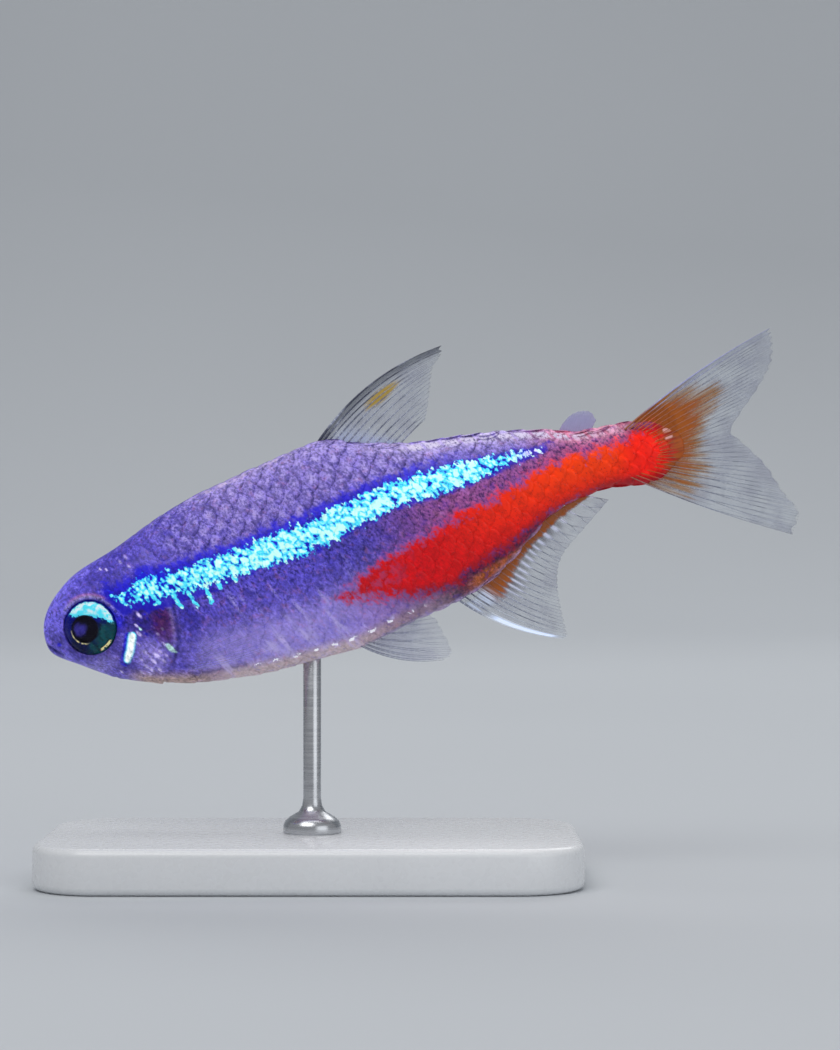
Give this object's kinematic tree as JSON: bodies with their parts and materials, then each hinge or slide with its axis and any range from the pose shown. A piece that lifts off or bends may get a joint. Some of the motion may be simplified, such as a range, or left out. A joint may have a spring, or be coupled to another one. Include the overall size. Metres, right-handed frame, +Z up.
{
  "type": "neon tetra display model",
  "caption": "Life-size neon tetra with spread fins, swimming nose-down, held by a rod on a flat rounded base.",
  "frame": {"origin": "on the floor, under the middle of the model's box", "axes": "+Z up, -X where the head points, -Y the fish's left flank, which the picture shows"},
  "size_m": [0.034, 0.014, 0.0246],
  "materials": {
    "skin": "satin iridescent scales over painted resin",
    "eye": "wet gloss",
    "fin": "thin, clear, with rays",
    "stand_base": "satin, softened edges",
    "stand_rod": "fine brushed"
  },
  "bodies": {
    "root": {"head": "skin", "lower_jaw": "skin", "gill_cover_left": "skin", "gill_cover_right": "skin", "trunk": "skin", "tail": "skin", "caudal_peduncle": "skin", "eye_left": "eye", "eye_right": "eye", "dorsal_fin": "fin", "adipose_fin": "fin", "anal_fin": "fin", "caudal_fin": "fin", "pectoral_fin_left": "fin", "pectoral_fin_right": "fin", "pelvic_fin_left": "fin", "pelvic_fin_right": "fin", "stand_base": "stand_base", "stand_rod": "stand_rod"}
  },
  "joints": []
}
